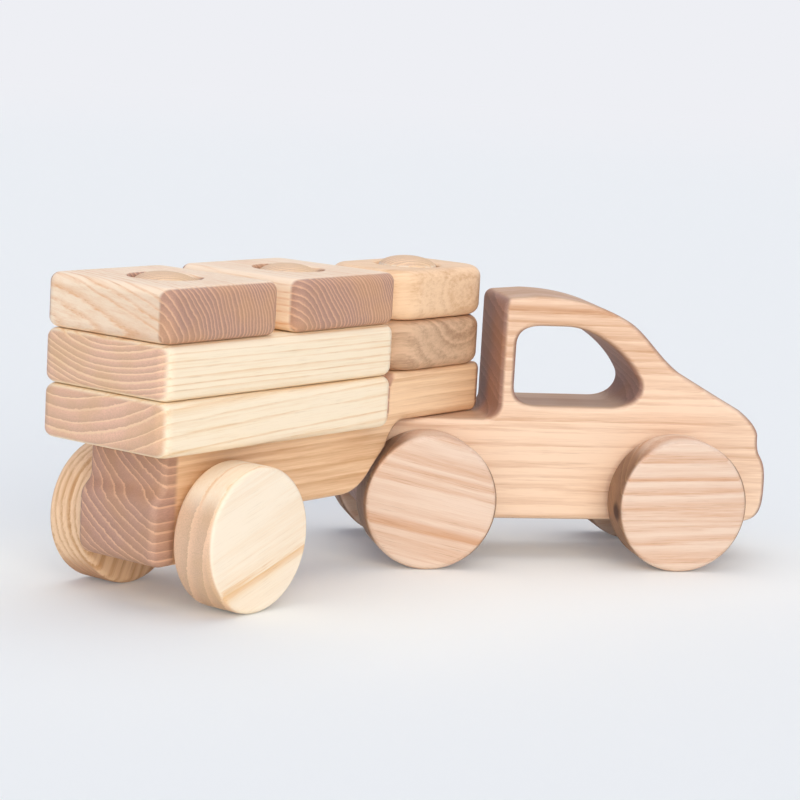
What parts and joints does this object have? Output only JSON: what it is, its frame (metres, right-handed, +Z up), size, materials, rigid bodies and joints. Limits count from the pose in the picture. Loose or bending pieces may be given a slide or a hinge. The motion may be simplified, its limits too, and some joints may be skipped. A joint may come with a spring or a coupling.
{
  "type": "wooden toy semi-truck with stacking load",
  "caption": "Wooden toy semi-truck: a car-shaped cab with a through window and a swivelling trailer whose posts hold lift-off boards and blocks.",
  "frame": {"origin": "on the ground under the middle of the whole truck's box", "axes": "+X the way the cab drives, +Y to the cab's left, +Z up; the trailer stands swung 40 degrees to the cab's right"},
  "size_m": [0.3362, 0.1918, 0.1343],
  "materials": {
    "cab_ash": "sanded and oiled",
    "trailer_ash": "sanded and oiled",
    "wheel_ash": "sanded and oiled",
    "dowel_ash": "sanded and oiled",
    "board_ash": "sanded and oiled",
    "block_ash": "sanded and oiled"
  },
  "bodies": {
    "cab": {"cab_body": "cab_ash"},
    "front_wheelset": {"cab_front_axle": "dowel_ash", "cab_front_left_wheel": "wheel_ash", "cab_front_right_wheel": "wheel_ash"},
    "rear_wheelset": {"cab_rear_axle": "dowel_ash", "cab_rear_left_wheel": "wheel_ash", "cab_rear_right_wheel": "wheel_ash"},
    "kingpin": {"front_post": "dowel_ash"},
    "trailer": {"trailer_body": "trailer_ash", "rear_post": "dowel_ash", "middle_post": "dowel_ash"},
    "trailer_wheelset": {"trailer_axle": "dowel_ash", "trailer_left_wheel": "wheel_ash", "trailer_right_wheel": "wheel_ash"},
    "lower_board": {"lower_board": "board_ash"},
    "upper_board": {"upper_board": "board_ash"},
    "rear_top_block": {"rear_top_block": "block_ash"},
    "middle_top_block": {"middle_top_block": "block_ash"},
    "lower_front_block": {"lower_front_block": "block_ash"},
    "upper_front_block": {"upper_front_block": "block_ash"}
  },
  "joints": [
    {"name": "front_axle_roll", "type": "hinge", "parent": "cab", "child": "front_wheelset", "pos_m": [0.12112, 0.05093, 0.03], "axis": [0, 1, 0], "continuous": true},
    {"name": "rear_axle_roll", "type": "hinge", "parent": "cab", "child": "rear_wheelset", "pos_m": [0.00512, 0.05093, 0.03], "axis": [0, 1, 0], "continuous": true},
    {"name": "trailer_unhitch", "type": "slide", "parent": "cab", "child": "kingpin", "axis": [0, 0, 1], "range_m": [0, 0.022]},
    {"name": "trailer_swivel", "type": "hinge", "parent": "kingpin", "child": "trailer", "pos_m": [-0.00188, 0.05093, 0.064], "axis": [0, 0, 1], "range_deg": [-81, 1]},
    {"name": "trailer_axle_roll", "type": "hinge", "parent": "trailer", "child": "trailer_wheelset", "pos_m": [-0.11219, -0.04163, 0.03], "axis": [-0.6428, 0.766, 0], "continuous": true},
    {"name": "lower_board_lift", "type": "slide", "parent": "trailer", "child": "lower_board", "axis": [0, 0, 1], "range_m": [0, 0.072]},
    {"name": "upper_board_lift", "type": "slide", "parent": "lower_board", "child": "upper_board", "axis": [0, 0, 1], "range_m": [0, 0.05]},
    {"name": "rear_top_block_lift", "type": "slide", "parent": "upper_board", "child": "rear_top_block", "axis": [0, 0, 1], "range_m": [0, 0.028]},
    {"name": "middle_top_block_lift", "type": "slide", "parent": "upper_board", "child": "middle_top_block", "axis": [0, 0, 1], "range_m": [0, 0.028]},
    {"name": "lower_front_block_lift", "type": "slide", "parent": "trailer", "child": "lower_front_block", "axis": [0, 0, 1], "range_m": [0, 0.052]},
    {"name": "upper_front_block_lift", "type": "slide", "parent": "lower_front_block", "child": "upper_front_block", "axis": [0, 0, 1], "range_m": [0, 0.03]}
  ]
}
